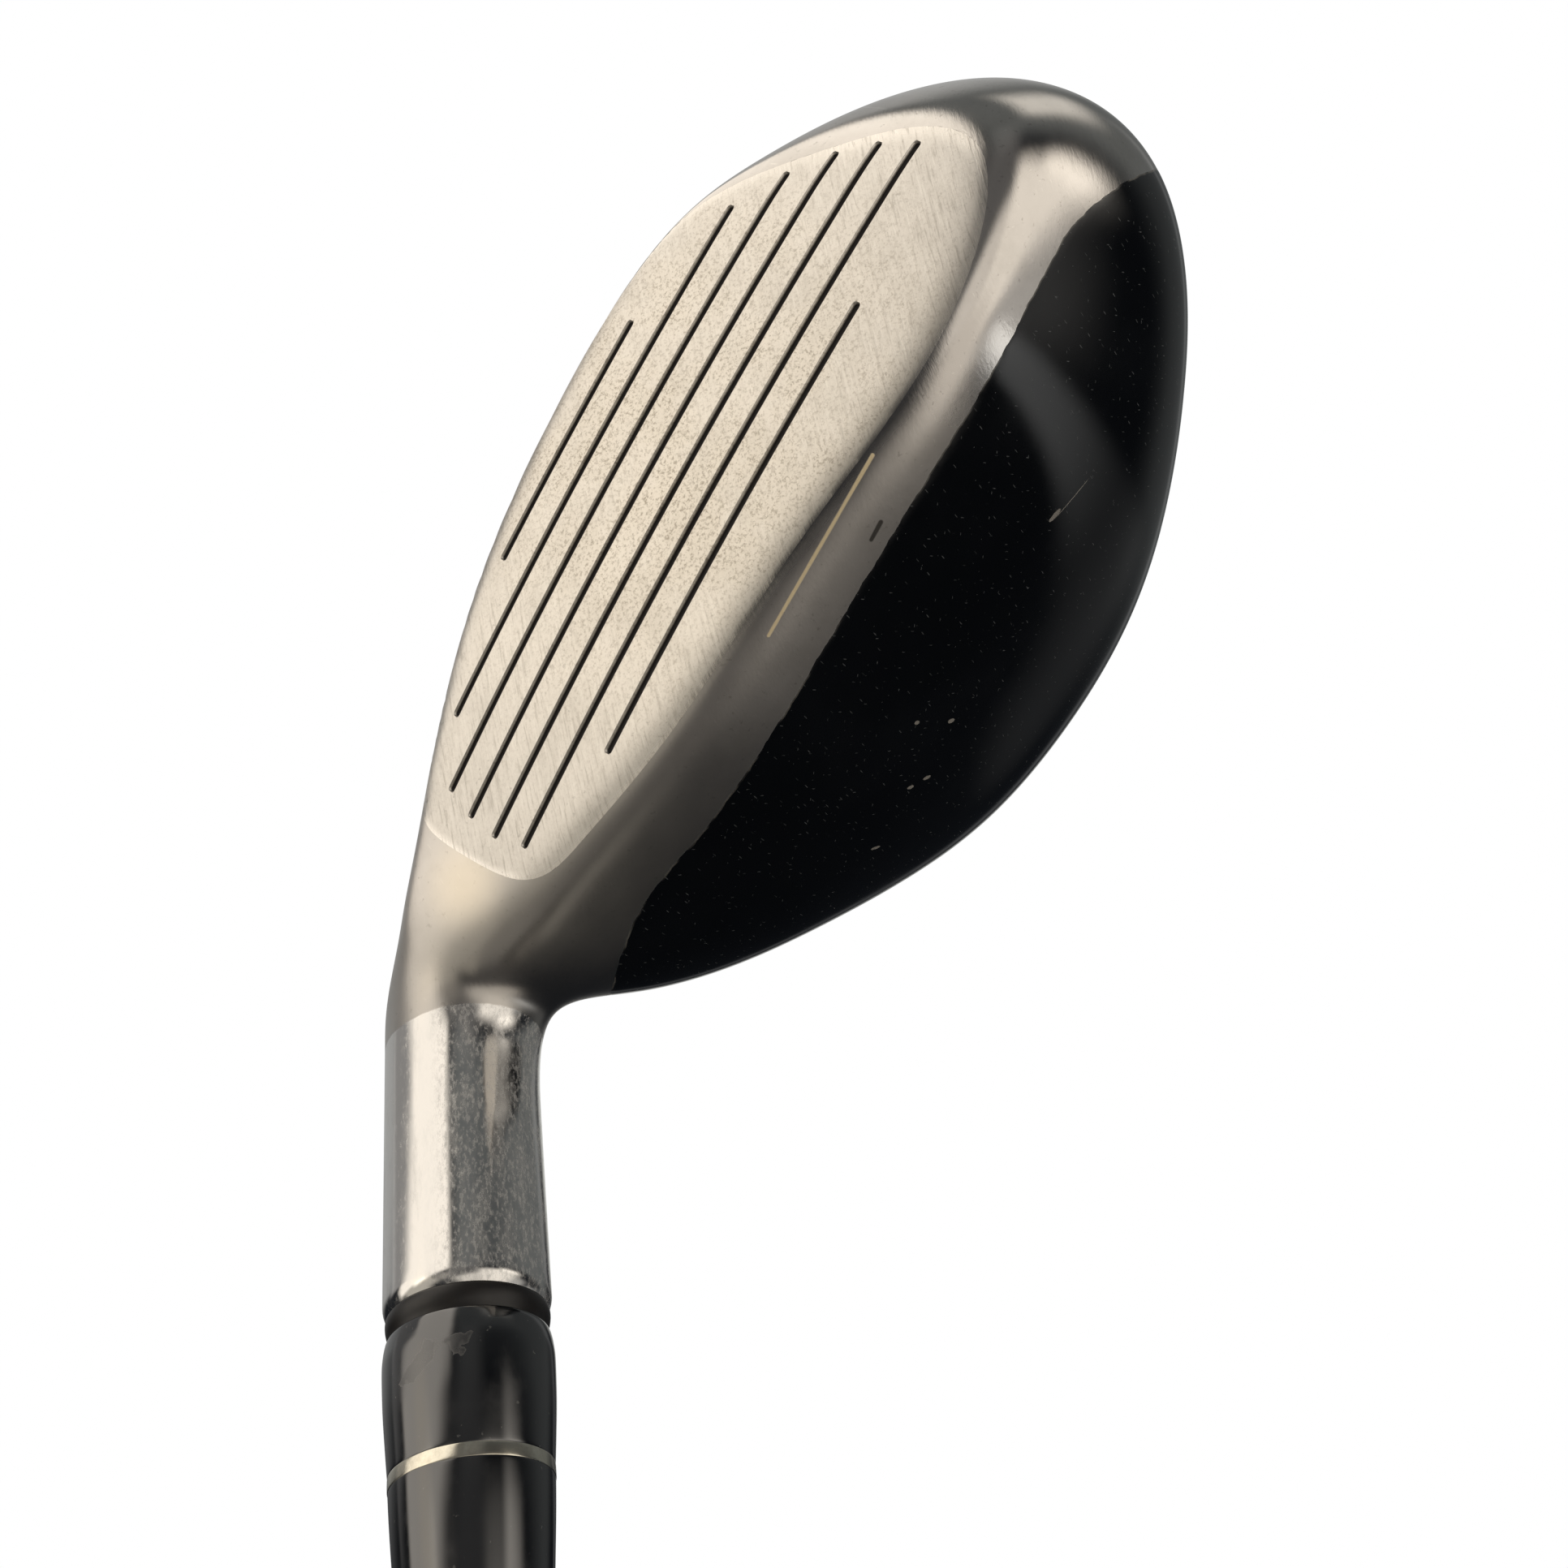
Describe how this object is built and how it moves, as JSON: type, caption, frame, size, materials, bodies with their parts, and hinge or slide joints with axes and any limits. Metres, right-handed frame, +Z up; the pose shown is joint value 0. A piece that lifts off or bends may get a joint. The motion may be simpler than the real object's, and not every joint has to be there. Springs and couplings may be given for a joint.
{
  "type": "hybrid golf club",
  "caption": "Right-handed hybrid golf club: grooved steel face, black domed crown, polished hosel with a ringed ferrule, tapered shaft and rubber grip, held at address.",
  "frame": {"origin": "the sole's flat contact patch, below the middle of the face and in the vertical plane of the shaft's axis", "axes": "+Z up from the ground, +Y towards the target, +X towards the toe; the shaft leans 60 degrees from the ground towards -X"},
  "size_m": [0.6103, 0.0642, 0.8849],
  "materials": {
    "head_body": "satin blasted 17-4 stainless, hosel polished",
    "face_plate": "bead blasted, lightly worn, dark scorelines",
    "crown_shell": "gloss black paint with fine scratches",
    "sole_plate": "satin blasted stainless",
    "hosel_plug": "plain moulded plug",
    "tip_weight": "turned",
    "ferrule_collar": "dark brown",
    "ferrule_lower": "gloss black with a chipped clear coat",
    "ferrule_trim_ring": "bright pale metal",
    "ferrule_upper": "gloss black",
    "shaft": "gloss black lacquer over carbon fibre",
    "grip_tape": "double sided paper tape",
    "grip": "matt moulded rubber"
  },
  "bodies": {
    "root": {"head_body": "head_body", "face_plate": "face_plate", "crown_shell": "crown_shell", "sole_plate": "sole_plate", "hosel_plug": "hosel_plug", "tip_weight": "tip_weight", "ferrule_collar": "ferrule_collar", "ferrule_lower": "ferrule_lower", "ferrule_trim_ring": "ferrule_trim_ring", "ferrule_upper": "ferrule_upper", "shaft": "shaft", "grip_tape": "grip_tape", "grip": "grip"}
  },
  "joints": []
}
